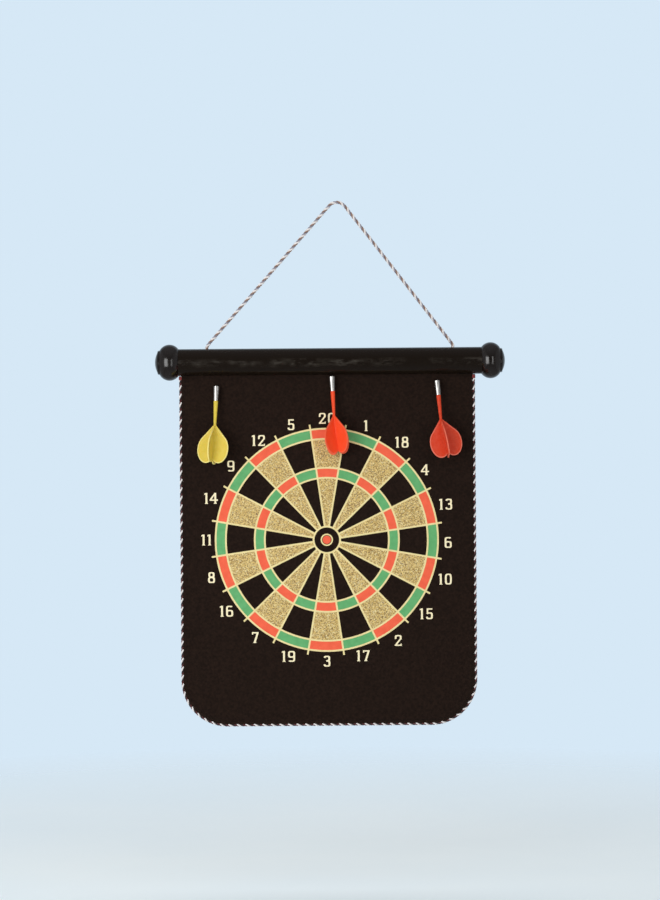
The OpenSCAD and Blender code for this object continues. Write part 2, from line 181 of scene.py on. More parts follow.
def rope_tree(name, strands):
    """Twists strands round a path. A strand is its material and its share of the strand radius."""
    tree = bpy.data.node_groups.new(name, "GeometryNodeTree")
    tree.interface.new_socket("Path", in_out="INPUT", socket_type="NodeSocketGeometry")
    for size in ("Lay", "Offset", "Strand Radius", "Step"):
        tree.interface.new_socket(size, in_out="INPUT", socket_type="NodeSocketFloat")
    tree.interface.new_socket("Rope", in_out="OUTPUT", socket_type="NodeSocketGeometry")
    given = put(tree, "NodeGroupInput")
    path = put(tree, "GeometryNodeMeshToCurve", {"Mesh": given["Path"]})[0]
    path = put(tree, "GeometryNodeCurveSplineType", {"Curve": path}, spline_type="CATMULL_ROM")[0]
    spaced = {"Curve": path, "Length": given["Step"]}
    path = put(tree, "GeometryNodeResampleCurve", spaced, mode="LENGTH")[0]
    along = put(tree, "GeometryNodeSplineParameter")["Length"]
    path = put(
        tree,
        "GeometryNodeStoreNamedAttribute",
        {"Geometry": path, "Name": "along", "Value": along},
        data_type="FLOAT",
        domain="POINT",
    )[0]
    normal = put(tree, "GeometryNodeInputNormal")[0]
    forward = put(tree, "GeometryNodeInputTangent")[0]
    side = put(tree, "ShaderNodeVectorMath", {0: forward, 1: normal}, operation="CROSS_PRODUCT")[0]
    turn = calc(tree, "MULTIPLY", calc(tree, "DIVIDE", along, given["Lay"]), tau)
    laid = []
    for place, (material, share) in enumerate(strands):
        angle = calc(tree, "ADD", turn, place * tau / len(strands))
        steps = []
        for direction, wave in ((normal, "COSINE"), (side, "SINE")):
            reach = calc(tree, "MULTIPLY", calc(tree, wave, angle), given["Offset"])
            steps.append(put(tree, "ShaderNodeVectorMath", {0: direction, 3: reach}, operation="SCALE")[0])
        offset = put(tree, "ShaderNodeVectorMath", dict(enumerate(steps)), operation="ADD")[0]
        strand = put(tree, "GeometryNodeSetPosition", {"Geometry": path, "Offset": offset})[0]
        radius = calc(tree, "MULTIPLY", given["Strand Radius"], share)
        profile = put(tree, "GeometryNodeCurvePrimitiveCircle", {"Resolution": 8, "Radius": radius})[0]
        profile = put(
            tree,
            "GeometryNodeStoreNamedAttribute",
            {"Geometry": profile, "Name": "seat", "Value": put(tree, "GeometryNodeInputPosition")[0]},
            data_type="FLOAT_VECTOR",
            domain="POINT",
        )[0]
        skin = {"Curve": strand, "Profile Curve": profile, "Fill Caps": True}
        strand = put(tree, "GeometryNodeCurveToMesh", skin)[0]
        strand = put(tree, "GeometryNodeSetShadeSmooth", {"Geometry": strand})[0]
        laid.append(put(tree, "GeometryNodeSetMaterial", {"Geometry": strand, "Material": material})[0])
    rope = put(tree, "GeometryNodeJoinGeometry", {0: laid})[0]
    put(tree, "NodeGroupOutput", {"Rope": put(tree, "GeometryNodeRealizeInstances", {0: rope})[0]})
    return tree


def add(name, mesh):
    piece = bpy.data.objects.new(name, mesh)
    bpy.context.collection.objects.link(piece)
    return piece


def grown(name, mesh, tree, sizes):
    """Runs a tree on a mesh with the named sizes, and keeps the result as a plain mesh."""
    piece = add(name, mesh)
    modifier = piece.modifiers.new(name, "NODES")
    modifier.node_group = tree
    for socket in tree.interface.items_tree:
        if socket.in_out == "INPUT" and socket.name in sizes:
            modifier[socket.identifier] = sizes[socket.name]
    depsgraph = bpy.context.evaluated_depsgraph_get()
    result = bpy.data.meshes.new_from_object(
        piece.evaluated_get(depsgraph), preserve_all_data_layers=True, depsgraph=depsgraph
    )
    piece.modifiers.clear()
    piece.data = result
    return piece


def line_mesh(runs):
    """Open runs of points as chains of edges."""
    points = [point for run in runs for point in run]
    edges = []
    start = 0
    for run in runs:
        edges += [(i, i + 1) for i in range(start, start + len(run) - 1)]
        start += len(run)
    mesh = bpy.data.meshes.new("path")
    mesh.from_pydata(points, edges, [])
    return mesh


pale_yarn = yarn("pale_yarn", dye(250, 246, 242), dye(186, 178, 182))
brown_yarn = yarn("brown_yarn", dye(170, 136, 118), dye(108, 78, 66))
plum_yarn = yarn("plum_yarn", dye(160, 158, 172), dye(96, 92, 108))
cord_twist = rope_tree("cord_twist", [(pale_yarn, 1.24), (brown_yarn, 0.88), (plum_yarn, 0.88)])


def rope(name, runs, twist, diameter, lay):
    """Three touching strands that fill the given diameter."""
    strand = diameter / 2 / (1 + 2 / sqrt(3))
    offset = diameter / 2 - strand
    sizes = {"Lay": lay, "Offset": offset, "Strand Radius": strand, "Step": lay / 15}
    return grown(name, line_mesh(runs), twist, sizes)


hanging_cord = rope("twisted_hanging_cord", [cord_route], cord_twist, cord_d, cord_lay)
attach(hanging_cord, "hanger")
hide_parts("hanging_cord")

# Stopper knots: an overhand knot in each end of the cord, tied inside the tube.
# Each is wider than its hole, so that the cord cannot pull out.
knot_r = (knot_d - cord_d) / 2
knot_rise = (knot_high.z - knot_low.z - cord_d) / 2
knot_z = (knot_high.z + knot_low.z) / 2


def overhand(hole_x, steps=44):
    """A trefoil that starts under the hole and ends in a short tail."""
    middle = Vector((hole_x, 0, knot_z))
    points = [Vector((hole_x, 0, tube_top_z + cord_mouth[0][1] * mm))]
    for step in range(steps):
        t = radians(100 + 325 * step / (steps - 1))
        across = Vector((sin(t) + 2 * sin(2 * t), cos(t) - 2 * cos(2 * t), 0)) * knot_r / 3
        points.append(middle + across - Vector((0, 0, knot_rise * sin(3 * t))))
    return points


knots = rope("stopper_knots", [overhand(left_hole_x), overhand(right_hole_x)], cord_twist, cord_d, cord_lay)
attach(knots, "hanger")
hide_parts("cord_knots")

# Tube: extruded black plastic with a satin skin, rougher in scuffed streaks along the middle of its side,
# where a painted reflection of the softboxes lies as pale grey streaks.
# It is slotted underneath, so that the hem of the board slides in from one end.
tube_finish, tree, shader = finish("satin_black_tube", Specular_IOR_Level=0.3)
reflection_band_z = (tube_low.z + tube_high.z) / 2 - 1.5 * mm
reflection_band_reach = 5.5 * mm
place = put(tree, "ShaderNodeSeparateXYZ", {0: put(tree, "ShaderNodeTexCoord")["Object"]})
aside = calc(tree, "ABSOLUTE", calc(tree, "SUBTRACT", place[2], reflection_band_z))
streak = mottle(tree, 240, 0.42, 0.74, 6, (0.32, 1, 1))
scuffs_and_painted_reflection = calc(tree, "MULTIPLY", streak, mottle(tree, 32, 0.4, 0.62))
scuffs_and_painted_reflection = calc(tree, "MULTIPLY", scuffs_and_painted_reflection, spread(tree, aside, reflection_band_reach, 0.2 * reflection_band_reach))
grain = mottle(tree, 900)
# Painted reflection: pale grey streaks in a band along the middle of the side, where the softboxes would
# show; the same streaks make the skin rougher there.
tree.links.new(dyed(tree, scuffs_and_painted_reflection, dye(24, 17, 11), dye(80, 74, 66)), shader.inputs["Base Color"])
tree.links.new(calc(tree, "MULTIPLY_ADD", scuffs_and_painted_reflection, 0.3, 0.2), shader.inputs["Roughness"])
relief(tree, shader, calc(tree, "MULTIPLY_ADD", grain, 0.3, streak), 0.03 * mm)


def dress(material, *nodes):
    for node in nodes:
        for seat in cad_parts[node].material_slots:
            seat.material = material


dress(tube_finish, "tube")

# End pieces: a beaded ring and a domed plug at each end, moulded in glossy black plastic.
# The hollow spigot of the plug goes through the ring and is pushed into the tube.
cap_finish, tree, shader = finish("gloss_black_caps", Specular_IOR_Level=0.9)
smear = mottle(tree, 120, 0.35, 0.75)
speck = mottle(tree, 1500, 0.68, 0.74, 2)
tree.links.new(dyed(tree, speck, dye(20, 14, 11), dye(52, 46, 41)), shader.inputs["Base Color"])
tree.links.new(calc(tree, "MULTIPLY_ADD", smear, 0.14, 0.14), shader.inputs["Roughness"])
relief(tree, shader, smear, 0.02 * mm)
dress(cap_finish, "left_end_ring", "left_end_plug", "right_end_ring", "right_end_plug")

# Hem rod: a plain wooden dowel that the top of the board is turned round.
# It is thicker than the slot of the tube, so the board hangs from it and swings on it.
wood, tree, shader = finish("dowel_wood", Roughness=0.7)
growth = mottle(tree, 420, 0.3, 0.7, 5, (0.06, 1, 1))
tree.links.new(dyed(tree, growth, dye(132, 98, 62), dye(196, 160, 112)), shader.inputs["Base Color"])
relief(tree, shader, growth, 0.05 * mm)
dress(wood, "hem_rod")

# Magnetic sheet: the flexible core that the darts hold to, ferrite powder in dark rubber.
# It is rolled to 1 mm and glued between the two cloths.
rubber, tree, shader = finish("magnet_rubber", Roughness=0.65)
powder = mottle(tree, 1400)
tree.links.new(dyed(tree, powder, dye(26, 21, 19), dye(40, 34, 31)), shader.inputs["Base Color"])
relief(tree, shader, powder, 0.03 * mm)
dress(rubber, "magnet_sheet")

# Front cloth: black flocked cloth with a brown cast, cut with rounded lower corners.
# It reaches up into the slot, where it is turned round the hem rod, and the target is printed on it.
sheet_low, sheet_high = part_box("magnet_sheet")
rod_low, rod_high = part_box("hem_rod")
front_low, front_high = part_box("front_cloth")
back_low, back_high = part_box("back_cloth")
cloth_t = back_high.y - back_low.y
piping_low, piping_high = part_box("edge_piping")
piping_d = piping_high.y - piping_low.y
board_corner_r = 50 * mm
cloth_lap = 1 * mm
cloth_corner_r = board_corner_r - (sheet_low.x - piping_low.x) + cloth_lap
hem_z = (rod_low.z + rod_high.z) / 2
hem_r = (front_high.y - front_low.y - cloth_t) / 2
cloth_cell = 6 * mm


def flock(name, pile, deep):
    """Short upright fibres: no gloss, a faint sheen, and patches where the pile lies over."""
    material, tree, shader = finish(
        name, Roughness=0.95, Specular_IOR_Level=0.12, Sheen_Weight=0.08, Sheen_Roughness=0.6
    )
    shader.inputs["Sheen Tint"].default_value = dye(226, 184, 150)
    fibre = mottle(tree, 1700, 0.25, 0.75, 6)
    nap = mottle(tree, 420, 0.34, 0.66, 5)
    shade = calc(tree, "MULTIPLY_ADD", nap, 0.6, calc(tree, "MULTIPLY", fibre, 0.4))
    tree.links.new(dyed(tree, shade, deep, pile), shader.inputs["Base Color"])
    relief(tree, shader, fibre, 0.16 * mm)
    return material


def evenly(start, end, step):
    parts = max(1, round((end - start) / step))
    return [start + (end - start) * part / parts for part in range(parts)]


def cloth(name, y, top, hem, material):
    """A sheet in the board's outline, as columns from the top edge down to the rounded foot.
    hem gives the y and z of the rows that continue it above the top edge, along the hem rod."""
    left = sheet_low.x - cloth_lap
    right = sheet_high.x + cloth_lap
    lowest = sheet_low.z - cloth_lap
    turn = cloth_corner_r
    bend = [turn * (1 - cos(radians(a))) for a in range(0, 90, 9)]
    columns = [left + x for x in bend]
    columns += evenly(left + turn, right - turn, cloth_cell)
    columns += [right - x for x in reversed(bend)]
    columns += [right - turn, rod_low.x, rod_high.x]
    columns = sorted({round(x, 6) for x in columns})
    depth = top - lowest
    rows = [row / depth for row in evenly(0, depth, cloth_cell)] + [1]
    points = []
    seats = {}
    for i, x in enumerate(columns):
        inset = max(0, left + turn - x, x - right + turn)
        foot = lowest + turn - sqrt(max(0, turn**2 - inset**2))
        for j, share in enumerate(rows):
            seats[i, j] = len(points)
            points.append((x, y, top + (foot - top) * share))
        if rod_low.x - mm / 100 < x < rod_high.x + mm / 100:
            for j, (hem_y, z) in enumerate(hem):
                seats[i, -1 - j] = len(points)
                points.append((x, hem_y, z))
    faces = []
    for i in range(len(columns) - 1):
        for j in range(-len(hem), len(rows) - 1):
            corners = [(i, j), (i, j + 1), (i + 1, j + 1), (i + 1, j)]
            if all(corner in seats for corner in corners):
                faces.append([seats[corner] for corner in corners])
    mesh = bpy.data.meshes.new(name)
    mesh.from_pydata(points, [], faces)
    mesh.shade_smooth()
    mesh.materials.append(material)
    piece = add(name, mesh)
    thickness = piece.modifiers.new("thickness", "SOLIDIFY")
    thickness.thickness = cloth_t
    thickness.offset = 0
    return piece


front_y = -(back_low.y + back_high.y) / 2
shoulder_gap = 0.3 * mm
shoulder_z = tube_low.z - shoulder_gap
hem_start = degrees(atan2(-sqrt(hem_r**2 - front_y**2), front_y))
hem_turn = [radians(hem_start - turn) for turn in range(0, 331, 15)]
hem_rows = [(hem_r * cos(a), hem_z + hem_r * sin(a)) for a in hem_turn]
front_flock = flock("black_flock", dye(38, 25, 19), dye(17, 9, 6))
front_cloth = cloth("flocked_front_cloth", front_y, shoulder_z, hem_rows, front_flock)
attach(front_cloth, "board")
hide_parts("front_cloth")

# Back cloth: the same flocked cloth, plainer and a little browner, glued to the back of the core.
# Its top edge stops in the slot, under the hem of the front cloth.
back_flock = flock("back_flock", dye(37, 28, 24), dye(18, 12, 10))
back_cloth = cloth("flocked_back_cloth", -front_y, back_high.z, [], back_flock)
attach(back_cloth, "board")
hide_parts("back_cloth")

# Edge piping: a thinner twisted cord with darker yarns, sewn round the cut edge of the board.
# It runs from the tube down one side, round the lower corners and up the other side.
piping_lay = 9.2 * mm
piping_bend_r = board_corner_r - piping_d / 2


def edge_run(inset, y, top):
    """The board's edge from one top corner round to the other, moved in from the piping's middle."""
    left = piping_low.x + piping_d / 2 + inset
    right = piping_high.x - piping_d / 2 - inset
    foot = piping_low.z + piping_d / 2 + inset
    bend = piping_bend_r - inset
    corners = [(left + bend, 180), (right - bend, 270)]
    run = [Vector((left, y, top))]
    for x, start in corners:
        centre = Vector((x, y, foot + bend))
        arc = [radians(start + turn) for turn in range(0, 91, 6)]
        arc = [centre + bend * Vector((cos(a), 0, sin(a))) for a in arc]
        run += between(run[-1], arc[0], 2 * piping_d) + arc
    end = Vector((right, y, top))
    return run + between(run[-1], end, 2 * piping_d) + [end]


maroon_yarn = yarn("maroon_yarn", dye(108, 42, 44), dye(58, 20, 22))
black_yarn = yarn("black_yarn", dye(54, 42, 48), dye(24, 17, 20))
piping_twist = rope_tree("piping_twist", [(pale_yarn, 1.2), (maroon_yarn, 0.9), (black_yarn, 0.9)])
piping = rope("twisted_edge_piping", [edge_run(0, 0, piping_high.z)], piping_twist, piping_d, piping_lay)
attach(piping, "board")
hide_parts("edge_piping")

# Whipping: maroon thread wound round each top end of the piping, so that its strands hold together.
# The turns lie side by side and are fixed with a drop of glue.
whipping_h = 3.6 * mm
thread_d = 0.55 * mm


def thread_tree(material):
    """A round thread along a path."""
    tree = bpy.data.node_groups.new("round_thread", "GeometryNodeTree")
    tree.interface.new_socket("Path", in_out="INPUT", socket_type="NodeSocketGeometry")
    tree.interface.new_socket("Thread Radius", in_out="INPUT", socket_type="NodeSocketFloat")
    tree.interface.new_socket("Thread", in_out="OUTPUT", socket_type="NodeSocketGeometry")
    given = put(tree, "NodeGroupInput")
    path = put(tree, "GeometryNodeMeshToCurve", {"Mesh": given["Path"]})[0]
    circle = {"Resolution": 6, "Radius": given["Thread Radius"]}
    profile = put(tree, "GeometryNodeCurvePrimitiveCircle", circle)[0]
    skin = {"Curve": path, "Profile Curve": profile, "Fill Caps": True}
    thread = put(tree, "GeometryNodeCurveToMesh", skin)[0]
    thread = put(tree, "GeometryNodeSetShadeSmooth", {"Geometry": thread})[0]
    thread = put(tree, "GeometryNodeRealizeInstances", {0: thread})[0]
    thread = put(tree, "GeometryNodeSetMaterial", {"Geometry": thread, "Material": material})[0]
    put(tree, "NodeGroupOutput", {"Thread": thread})
    return tree


def winding(x):
    """A helix round the top end of the piping on one side."""
    turns = round(whipping_h / thread_d)
    reach = piping_d / 2 + thread_d * 0.1
    steps = turns * 16
    angles = [tau * turns * step / steps for step in range(steps + 1)]
    drop = whipping_h / (tau * turns)
    top = piping_high.z - thread_d / 2
    return [Vector((x + reach * cos(a), reach * sin(a), top - drop * a)) for a in angles]


thread_finish, tree, shader = finish("maroon_thread", Roughness=0.6, Sheen_Weight=0.2)
twist = mottle(tree, 2400, 0.3, 0.7)
tree.links.new(dyed(tree, twist, dye(104, 30, 32), dye(176, 70, 66)), shader.inputs["Base Color"])
relief(tree, shader, twist, 0.05 * mm)
ends = [winding(piping_low.x + piping_d / 2), winding(piping_high.x - piping_d / 2)]
thread_size = {"Thread Radius": thread_d / 2}
whipping = grown("piping_whipping", line_mesh(ends), thread_tree(thread_finish), thread_size)
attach(whipping, "board")

# Seams: black machine stitches that hold the piping to the edge, and close the hem below the tube.
# The same row shows on the front cloth and on the back cloth.
stitch_pitch = 3.4 * mm
stitch_l = 2.5 * mm
stitch_d = 0.5 * mm
seam_inset = 4.2 * mm
hem_seam_z = tube_low.z - 2.6 * mm


def stitch_tree(material):
    """Short stitches set along a path at an even pitch."""
    tree = bpy.data.node_groups.new("stitch_row", "GeometryNodeTree")
    tree.interface.new_socket("Path", in_out="INPUT", socket_type="NodeSocketGeometry")
    for size in ("Pitch", "Stitch Length", "Thickness"):
        tree.interface.new_socket(size, in_out="INPUT", socket_type="NodeSocketFloat")
    tree.interface.new_socket("Stitches", in_out="OUTPUT", socket_type="NodeSocketGeometry")
    given = put(tree, "NodeGroupInput")
    path = put(tree, "GeometryNodeMeshToCurve", {"Mesh": given["Path"]})[0]
    spaced = {"Curve": path, "Length": given["Pitch"]}
    path = put(tree, "GeometryNodeResampleCurve", spaced, mode="LENGTH")[0]
    stitch = put(tree, "GeometryNodeMeshUVSphere", {"Segments": 6, "Rings": 4, "Radius": 0.5})[0]
    sizes = {0: given["Thickness"], 1: given["Thickness"], 2: given["Stitch Length"]}
    size = put(tree, "ShaderNodeCombineXYZ", sizes)[0]
    heading = {"Vector": put(tree, "GeometryNodeInputTangent")[0]}
    turn = put(tree, "FunctionNodeAlignRotationToVector", heading, axis="Z")[0]
    seats = {"Points": path, "Instance": stitch, "Rotation": turn, "Scale": size}
    row = put(tree, "GeometryNodeInstanceOnPoints", seats)[0]
    row = put(tree, "GeometryNodeRealizeInstances", {0: row})[0]
    row = put(tree, "GeometryNodeSetShadeSmooth", {"Geometry": row})[0]
    row = put(tree, "GeometryNodeSetMaterial", {"Geometry": row, "Material": material})[0]
    put(tree, "NodeGroupOutput", {"Stitches": row})
    return tree


black_thread, tree, shader = finish("black_thread", Roughness=0.7, Specular_IOR_Level=0.2)
twist = mottle(tree, 2400, 0.3, 0.7)
tree.links.new(dyed(tree, twist, dye(14, 9, 7), dye(30, 21, 17)), shader.inputs["Base Color"])
relief(tree, shader, twist, 0.05 * mm)
face_y = front_y - cloth_t / 2
hem_ends = (sheet_low.x + seam_inset, sheet_high.x - seam_inset)
seams = []
for y in (face_y, -face_y):
    seams.append(edge_run(seam_inset, y, hem_seam_z - stitch_pitch))
    seams.append([Vector((x, y, hem_seam_z)) for x in hem_ends])
sizes = {"Pitch": stitch_pitch, "Stitch Length": stitch_l, "Thickness": stitch_d}
stitches = grown("edge_and_hem_stitches", line_mesh(seams), stitch_tree(black_thread), sizes)
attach(stitches, "board")

# Target print: four inks screened on the flock one after the other, each a thin film.
# The gold carries glitter flakes; the red, the green and the pale lines are flat inks.
flake_scale = 1200
gold, tree, shader = finish("gold_glitter", Metallic=0.15, Roughness=0.42)
place = put(tree, "ShaderNodeTexCoord")["Object"]
flake = put(tree, "ShaderNodeTexVoronoi", {"Vector": place, "Scale": flake_scale})["Color"]
chance = put(tree, "ShaderNodeSeparateColor", {0: flake})
# Each flake gets a random colour from dark brown to near white: partly the flakes' own gold tones, and the
# palest are painted glints.
flake_tone_and_glint = put(tree, "ShaderNodeValToRGB", {"Fac": chance[0]})
ramp = tree.nodes[-1].color_ramp
ramp.elements[0].color = dye(122, 95, 46)
ramp.elements[1].color = dye(255, 246, 204)
for position, colour in ((0.3, dye(214, 182, 108)), (0.75, dye(252, 226, 152))):
    ramp.elements.new(position).color = colour
cast = dyed(tree, mottle(tree, 640, 0.34, 0.66), dye(196, 180, 168), dye(255, 253, 236))
flake_tone_and_glint = put(tree, "ShaderNodeMix", {0: 0.8, 6: flake_tone_and_glint[0], 7: cast}, data_type="RGBA", blend_type="MULTIPLY")[2]
tree.links.new(flake_tone_and_glint, shader.inputs["Base Color"])
facet = put(tree, "ShaderNodeVectorMath", {0: flake, 1: (0.5, 0.5, 0.5)}, operation="SUBTRACT")[0]
facet = put(tree, "ShaderNodeVectorMath", {0: facet, 3: 0.5}, operation="SCALE")[0]
upright = put(tree, "ShaderNodeNewGeometry")["Normal"]
facet = put(tree, "ShaderNodeVectorMath", {0: upright, 1: facet}, operation="ADD")[0]
facet = put(tree, "ShaderNodeVectorMath", {0: facet}, operation="NORMALIZE")[0]
tree.links.new(facet, shader.inputs["Normal"])
dress(gold, "gold_print")


def ink(name, full, thin):
    """Screen ink on flock: slightly uneven, with the fibres standing through it."""
    material, tree, shader = finish(name, Roughness=0.6, Specular_IOR_Level=0.3)
    fibre = mottle(tree, 1600, 0.25, 0.75, 5)
    cover = calc(tree, "MULTIPLY_ADD", mottle(tree, 160), 0.5, calc(tree, "MULTIPLY", fibre, 0.5))
    tree.links.new(dyed(tree, cover, thin, full), shader.inputs["Base Color"])
    relief(tree, shader, fibre, 0.08 * mm)
    return material


dress(ink("red_ink", dye(252, 107, 74), dye(234, 89, 58)), "red_print")
dress(ink("green_ink", dye(108, 184, 118), dye(86, 160, 98)), "green_print")
line_ink = ink("line_ink", dye(244, 228, 168), dye(228, 208, 144))
dress(line_ink, "line_print")

# Score numbers: plain figures of squarish form, printed upright round the target in pale ink.
# Each is drawn with thin even strokes and squared bowls, and its upright ends in a flared foot.
print_low, print_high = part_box("line_print")
target_middle = (print_low + print_high) / 2
print_turn = radians(0.9)
number_r = 131.5 * mm
figure_squat = 0.86
number_shift = Vector((0.9, 0, -0.65)) * mm
one_w = 6.5 * mm
figure_w = 9.8 * mm
ink_t = 0.18 * mm
# In clockwise order, with how far each number stands off its place on the circle, in mm across and up.
number_strays = {
    20: (-1.9, 0.3),
    1: (-0.1, -0.9),
    18: (2.2, 0.2),
    4: (-1.8, -0.1),
    13: (2.2, -0.6),
    6: (-1.4, -1.2),
    10: (2.3, -0.2),
    15: (0.9, -1.1),
    2: (-0.3, -1),
    17: (-1.2, 0.9),
    3: (0.4, 1.1),
    19: (-0.6, -0.5),
    7: (0, 0.9),
    16: (-2.1, 0),
    8: (0, -0.5),
    11: (0.8, -0.6),
    14: (-1.2, 3.8),
    9: (1.3, 2.1),
    12: (1.8, 0.8),
    5: (0.1, -0.5),
}
bold = 1.9
fine = 1.6
squareness = 0.55


def block(left, low, right, high):
    return [(left, low), (right, low), (right, high), (left, high)]


def squared(value):
    """Pushes a sine or cosine outwards, which turns an oval into a rounded box."""
    return copysign(abs(value) ** squareness, value)


def bowl(x, z, half_w, half_h, start, end):
    """Part of a squared oval stroke, from start to end in degrees, anticlockwise from the right."""
    turns = [radians(start + (end - start) * step / 24) for step in range(25)]
    turns = [(squared(cos(a)), squared(sin(a))) for a in turns]
    outer = [(x + half_w * across, z + half_h * up) for across, up in turns]
    inner = [(x + (half_w - bold) * across, z + (half_h - fine) * up) for across, up in turns]
    return outer + inner[::-1]


def foot(x):
    """The flared lower end of an upright."""
    return [(x - 0.8, -4.9), (x - 1.8, -6.8), (x + 1.8, -6.8), (x + 0.8, -4.9)]


def turned(strokes):
    return [[(-x, -z) for x, z in stroke] for stroke in strokes]


six = [
    bowl(0, -2.6, 3.8, 4.2, 0, 190),
    bowl(0, -2.6, 3.8, 4.2, 180, 370),
    block(-3.8, -2.6, -3.8 + bold, 2.8),
    bowl(0, 2.6, 3.8, 4.2, 40, 184),
]
figures = [
    [bowl(0, 0, 3.7, 6.8, 0, 190), bowl(0, 0, 3.7, 6.8, 180, 370)],
    [
        block(-1, -5.4, 1, 6.8),
        foot(0),
        [(-2.3, 4.3), (-0.8, 5), (-0.8, 6.8), (-2.3, 5.9)],
    ],
    [
        bowl(0, 2.9, 3.7, 3.9, -12, 188),
        [(3.7, 2.2), (1.7, 2.2), (-3.7, -5.6), (-1.5, -5.6)],
        block(-3.7, -6.8, 3.7, -5.2),
        block(2.5, -6.8, 3.7, -4.1),
    ],
    [
        bowl(-0.1, 3.3, 3.4, 3.5, -95, 172),
        bowl(-0.1, -2.9, 3.7, 3.9, -172, 95),
    ],
    [
        block(0.4, -5.4, 2.4, 6.8),
        foot(1.4),
        [(2.4, 6.8), (0.5, 6.8), (-4.6, -1.5), (-2.6, -1.5)],
        block(-4.6, -3.1, 4.2, -1.5),
    ],
    [
        block(-3, 0.2, -1.3, 6.8),
        block(-3, 5.2, 3.1, 6.8),
        bowl(-0.1, -2.5, 3.7, 4.3, -172, 150),
    ],
    six,
    [
        block(-3.5, 5.2, 3.6, 6.8),
        block(-3.5, 3.7, -2.3, 6.8),
        [(3.6, 5.6), (1.5, 5.6), (-1.5, -5.4), (0.6, -5.4)],
        foot(-0.5),
    ],
    [
        bowl(0, 3.4, 3.3, 3.4, 0, 190),
        bowl(0, 3.4, 3.3, 3.4, 180, 370),
        bowl(0, -3, 3.7, 3.8, 0, 190),
        bowl(0, -3, 3.7, 3.8, 180, 370),
    ],
    turned(six),
]


def union_tree():
    """Joins overlapping strokes into one film."""
    tree = bpy.data.node_groups.new("joined_strokes", "GeometryNodeTree")
    tree.interface.new_socket("Strokes", in_out="INPUT", socket_type="NodeSocketGeometry")
    tree.interface.new_socket("Figure", in_out="OUTPUT", socket_type="NodeSocketGeometry")
    strokes = put(tree, "NodeGroupInput")["Strokes"]
    joined = {"Mesh 2": strokes, "Self Intersection": True}
    figure = put(tree, "GeometryNodeMeshBoolean", joined, operation="UNION", solver="EXACT")[0]
    put(tree, "NodeGroupOutput", {"Figure": figure})
    return tree


def figure_mesh(strokes):
    """Strokes as thin films from the face of the cloth outwards."""
    form = bmesh.new()
    for stroke in strokes:
        rims = []
        for y in (face_y - ink_t, face_y + ink_t / 3):
            rims.append([form.verts.new((x * mm, y, z * figure_squat * mm)) for x, z in stroke])
            form.faces.new(rims[-1])
        for i in range(len(stroke)):
            form.faces.new((rims[0][i - 1], rims[0][i], rims[1][i], rims[1][i - 1]))
    bmesh.ops.recalc_face_normals(form, faces=form.faces)
    mesh = bpy.data.meshes.new("strokes")
    form.to_mesh(mesh)
    form.free()
    return mesh


joined_strokes = union_tree()
figure_meshes = []
for strokes in figures:
    drawn = grown("figure", figure_mesh(strokes), joined_strokes, {})
    figure_meshes.append(drawn.data)
    bpy.data.objects.remove(drawn)
form = bmesh.new()
for place, (score, (across, up)) in enumerate(number_strays.items()):
    turn = print_turn + tau * place / len(number_strays)
    seat = target_middle + number_shift + number_r * Vector((sin(turn), 0, cos(turn)))
    seat += Vector((across, 0, up)) * mm
    figures_shown = [int(figure) for figure in str(score)]
    widths = [one_w if figure == 1 else figure_w for figure in figures_shown]
    for column, figure in enumerate(figures_shown):
        shift = sum(widths[:column]) + (widths[column] - sum(widths)) / 2
        before = len(form.verts)
        form.from_mesh(figure_meshes[figure])
        form.verts.ensure_lookup_table()
        bmesh.ops.translate(form, verts=form.verts[before:], vec=(seat.x + shift, 0, seat.z))
numbers_mesh = bpy.data.meshes.new("score_numbers")
form.to_mesh(numbers_mesh)
form.free()
numbers_mesh.materials.append(ink("number_ink", dye(255, 245, 208), dye(245, 228, 182)))
numbers = add("score_numbers", numbers_mesh)
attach(numbers, "board")

# Darts: a dark domed magnet glued into a turned and plated barrel, pushed on a moulded body.
# The body is one piece of soft plastic: a plug, a tapered stem and four rimmed flights.
# The left dart is yellow and the other two are red, the right one deeper. All have rims painted paler, a
# painted glow of light through the edges, the right one most.
chrome, tree, shader = finish("plated_barrel", Metallic=1)
shader.inputs["Base Color"].default_value = dye(232, 230, 225)
cut = mottle(tree, 2600, 0.3, 0.7, 2, (0.03, 0.03, 1))
smudge = mottle(tree, 500)
tree.links.new(calc(tree, "MULTIPLY_ADD", smudge, 0.04, 0.04), shader.inputs["Roughness"])
relief(tree, shader, cut, 0.001 * mm)
magnet, tree, shader = finish("dart_magnet", Metallic=0.6, Roughness=0.38)
powder = mottle(tree, 2000)
tree.links.new(dyed(tree, powder, dye(56, 55, 57), dye(92, 91, 94)), shader.inputs["Base Color"])
relief(tree, shader, powder, 0.02 * mm)
flight_l = 41.4 * mm
flight_web = 0.7 * mm
flight_rim = 1.2 * mm
edge_round = 0.12 * mm


def dart_plastic(name, body, rim):
    """Soft glossy plastic, with the thick rims of the flights painted paler as a painted glow of light
    through the edges.
    """
    material, tree, shader = finish(
        name, Specular_IOR_Level=0.25, Subsurface_Weight=0.12, Subsurface_Scale=1.2 * mm
    )
    shader.inputs["Subsurface Radius"].default_value = (1, 0.5, 0.3)
    edge = put(tree, "ShaderNodeAttribute", attribute_name="rim")["Fac"]
    cloud = mottle(tree, 260, 0.3, 0.7)
    # Painted glow: the marked rims are mixed towards the paler rim colour, for light passing through the
    # flight edges; the cloud is the plastic's own uneven tone.
    mottle_and_rim_glow = calc(tree, "MULTIPLY_ADD", cloud, 0.16, calc(tree, "MULTIPLY", edge, 0.7))
    tree.links.new(dyed(tree, mottle_and_rim_glow, body, rim), shader.inputs["Base Color"])
    tree.links.new(calc(tree, "MULTIPLY_ADD", cloud, 0.1, 0.36), shader.inputs["Roughness"])
    relief(tree, shader, mottle(tree, 1100), 0.015 * mm)
    return material


